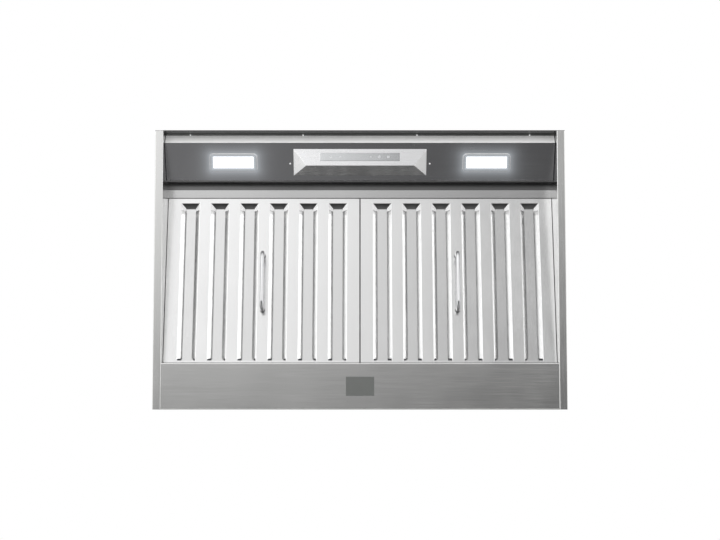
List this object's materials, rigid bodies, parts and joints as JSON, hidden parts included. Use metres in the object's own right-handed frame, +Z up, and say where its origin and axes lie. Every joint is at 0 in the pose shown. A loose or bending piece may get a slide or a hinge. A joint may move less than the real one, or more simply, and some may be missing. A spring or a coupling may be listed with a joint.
{
  "type": "range hood insert",
  "caption": "Steel range hood insert for building into a cabinet, with baffle filters on hinges, lamps, a touch control, a blower and a round duct collar with a damper.",
  "frame": {"origin": "centre of the rim's rectangle, on the rim plane that faces the cooktop", "axes": "+Z up towards the duct, -Y towards the cook, +X to the right of the cook who faces the hood"},
  "size_m": [0.724, 0.492, 0.32],
  "materials": {
    "stainless": "brushed along the long side",
    "stainless_dark": "brushed, dark",
    "galvanised": "galvanised sheet, matt",
    "handle_steel": "polished",
    "fastener": "plated",
    "badge_grey": "satin",
    "lamp_lens": "frosted, lit",
    "touch_glass": "smooth",
    "circuit_board": "green laminate",
    "led_board": "white laminate",
    "black_plastic": "moulded",
    "ivory_plastic": "moulded",
    "black_insulation": "sheathed wire",
    "foot_rubber": "moulded",
    "motor_enamel": "enamel",
    "impeller_steel": "galvanised",
    "shaft_steel": "ground",
    "lamp_shell": "die cast"
  },
  "bodies": {
    "liner": {"side_panel_left": "stainless", "side_panel_right": "stainless", "front_panel": "stainless", "rear_panel": "stainless", "rear_pan": "stainless", "divider_panel": "stainless", "filter_channel": "stainless", "lamp_bezel_left": "stainless", "lamp_bezel_right": "stainless", "control_housing": "stainless", "light_panel": "stainless_dark", "roof_panel": "galvanised", "light_panel_bracket": "galvanised", "control_bracket": "galvanised", "electronics_box": "galvanised", "electronics_lid": "galvanised", "blower_box": "galvanised", "blower_top": "galvanised", "scroll_wrap": "galvanised", "scroll_side_left": "galvanised", "scroll_side_right": "galvanised", "motor_bracket": "galvanised", "duct_collar": "galvanised", "junction_box": "galvanised", "junction_box_end": "galvanised", "junction_box_cover": "galvanised", "light_panel_screws": "fastener", "housing_screws": "fastener", "badge_plate": "badge_grey", "lamp_lens_left": "lamp_lens", "lamp_lens_right": "lamp_lens", "touch_glass": "touch_glass", "control_board": "circuit_board", "power_board": "circuit_board", "led_boards": "led_board", "cable_gland": "black_plastic", "filter_catches": "black_plastic", "terminal_block": "ivory_plastic", "motor_capacitor": "ivory_plastic", "lamp_leads": "black_insulation", "motor": "motor_enamel", "motor_bearings": "shaft_steel", "damper_rod": "shaft_steel", "lamp_housings": "lamp_shell"},
    "filter_left": {"filter_left_face": "stainless", "filter_left_channels": "stainless", "filter_left_frame": "stainless", "filter_left_handle": "handle_steel", "filter_left_feet": "foot_rubber"},
    "filter_right": {"filter_right_face": "stainless", "filter_right_channels": "stainless", "filter_right_frame": "stainless", "filter_right_handle": "handle_steel", "filter_right_feet": "foot_rubber"},
    "fan": {"impeller_plates": "impeller_steel", "impeller_blades": "impeller_steel", "impeller_hub": "impeller_steel", "motor_shaft": "shaft_steel"},
    "damper_front": {"damper_flap_front": "galvanised"},
    "damper_rear": {"damper_flap_rear": "galvanised"}
  },
  "joints": [
    {"name": "filter_left_hinge", "type": "hinge", "parent": "liner", "child": "filter_left", "pos_m": [-0.17335, -0.1363, 0.0823], "axis": [-1, 0, 0], "range_deg": [0, 75]},
    {"name": "filter_right_hinge", "type": "hinge", "parent": "liner", "child": "filter_right", "pos_m": [0.17335, -0.1363, 0.0823], "axis": [-1, 0, 0], "range_deg": [0, 75]},
    {"name": "fan_spin", "type": "hinge", "parent": "liner", "child": "fan", "pos_m": [0, -0.0301, 0.194], "axis": [1, 0, 0], "continuous": true},
    {"name": "damper_front_hinge", "type": "hinge", "parent": "liner", "child": "damper_front", "pos_m": [0, 0.01, 0.2965], "axis": [-1, 0, 0], "range_deg": [0, 75]},
    {"name": "damper_rear_hinge", "type": "hinge", "parent": "liner", "child": "damper_rear", "pos_m": [0, 0.01, 0.2965], "axis": [1, 0, 0], "range_deg": [0, 75]}
  ]
}
